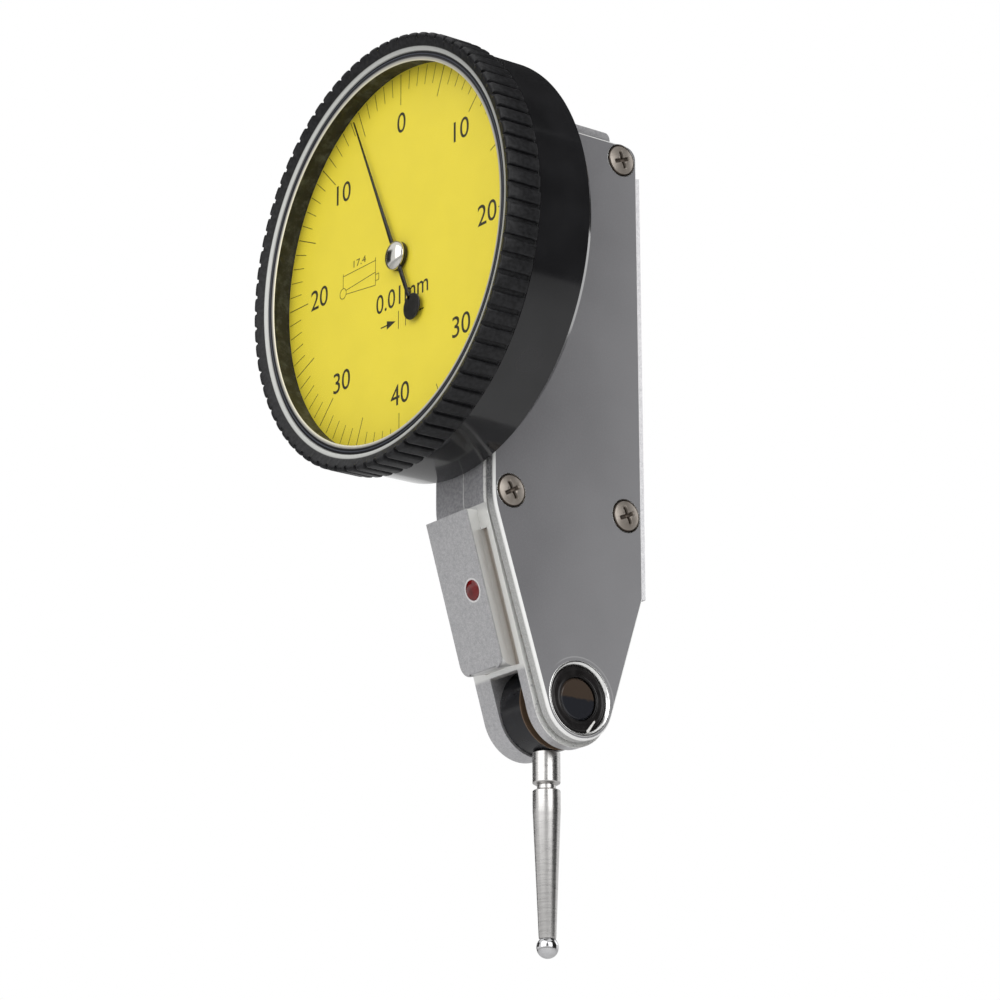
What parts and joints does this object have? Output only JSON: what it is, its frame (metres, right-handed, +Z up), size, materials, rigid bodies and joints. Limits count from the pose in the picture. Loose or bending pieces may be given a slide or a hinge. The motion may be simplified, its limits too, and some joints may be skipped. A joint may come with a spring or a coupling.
{
  "type": "dial test indicator",
  "caption": "Lever-type dial test indicator with a turning round dial, slim flat body with clamping dovetails, and a swivelling ball-ended stylus geared to the pointer.",
  "frame": {"origin": "centre of the rear dovetail's outer face, where the indicator is clamped", "axes": "+Z up along the body towards the dial, +Y out of the rear dovetail, so the dial faces -Y; +X is the side of the screwed cover"},
  "size_m": [0.04, 0.0279, 0.0815],
  "materials": {
    "body_metal": "satin",
    "cover_paint": "matte grey",
    "screw_steel": "polished",
    "red_enamel": "gloss",
    "case_black": "black, semi-gloss",
    "bezel_black": "black, satin",
    "spring_steel": "bright",
    "brass": "satin",
    "dark_steel": "blackened",
    "jewel": "polished",
    "crystal": "clear",
    "dial_yellow": "matte yellow",
    "pointer_black": "matte black",
    "hub_chrome": "mirror",
    "stylus_steel": "polished",
    "carbide": "polished"
  },
  "bodies": {
    "body": {"frame": "body_metal", "fork_cheek_left": "body_metal", "fork_cheek_right": "body_metal", "fork_webs": "body_metal", "side_cover": "cover_paint", "cover_screws": "screw_steel", "colour_dot": "red_enamel", "dial_case": "case_black", "case_screws": "screw_steel", "retaining_wire": "spring_steel", "centre_bush": "brass", "pivot_bushing_left": "dark_steel", "pivot_bushing_right": "dark_steel", "movement_bridge": "brass", "bridge_pillars": "brass", "bridge_screws": "screw_steel", "arbor_jewels": "jewel", "hairspring": "spring_steel", "hairspring_stud": "brass"},
    "bezel": {"bezel_ring": "bezel_black", "crystal": "crystal", "dial_face": "dial_yellow", "dial_snap_ring": "spring_steel"},
    "pointer": {"pointer": "pointer_black", "pointer_hub": "hub_chrome", "centre_arbor": "screw_steel"},
    "crown": {"crown_gear": "brass", "crown_arbor": "screw_steel", "hairspring_collet": "brass"},
    "sector": {"sector_gear": "brass", "sector_arbor": "screw_steel"},
    "lever": {"lever_arm": "brass", "lever_pin": "screw_steel", "friction_washer": "spring_steel", "pivot_shaft": "dark_steel"},
    "stylus": {"stylus_drum": "dark_steel", "stylus_shank": "stylus_steel", "contact_ball": "carbide"}
  },
  "joints": [
    {"name": "bezel_turn", "type": "hinge", "parent": "body", "child": "bezel", "pos_m": [0, -0.02525, 0.00785], "axis": [0, 1, 0], "continuous": true},
    {"name": "pointer_turn", "type": "hinge", "parent": "body", "child": "pointer", "pos_m": [0, -0.02525, 0.00785], "axis": [0, 1, 0], "range_deg": [-202.5, 202.5], "stiffness_Nm_per_rad": 0.00001},
    {"name": "crown_turn", "type": "hinge", "parent": "body", "child": "crown", "pos_m": [0, -0.01275, 0.00785], "axis": [1, 0, 0], "range_deg": [-85, 85]},
    {"name": "sector_turn", "type": "hinge", "parent": "body", "child": "sector", "pos_m": [0, -0.0088, -0.00382], "axis": [1, 0, 0], "range_deg": [-8.5, 8.5]},
    {"name": "lever_turn", "type": "hinge", "parent": "body", "child": "lever", "pos_m": [0, -0.0088, -0.03132], "axis": [1, 0, 0], "range_deg": [-1.25, 1.25]},
    {"name": "stylus_swivel", "type": "hinge", "parent": "lever", "child": "stylus", "pos_m": [0, -0.0088, -0.03132], "axis": [1, 0, 0], "range_deg": [-90, 90]}
  ],
  "couplings": [
    {"joint": "crown_turn", "follows": "pointer_turn", "ratio": -0.40909},
    {"joint": "sector_turn", "follows": "pointer_turn", "ratio": 0.040909},
    {"joint": "lever_turn", "follows": "pointer_turn", "ratio": -0.0059658}
  ]
}
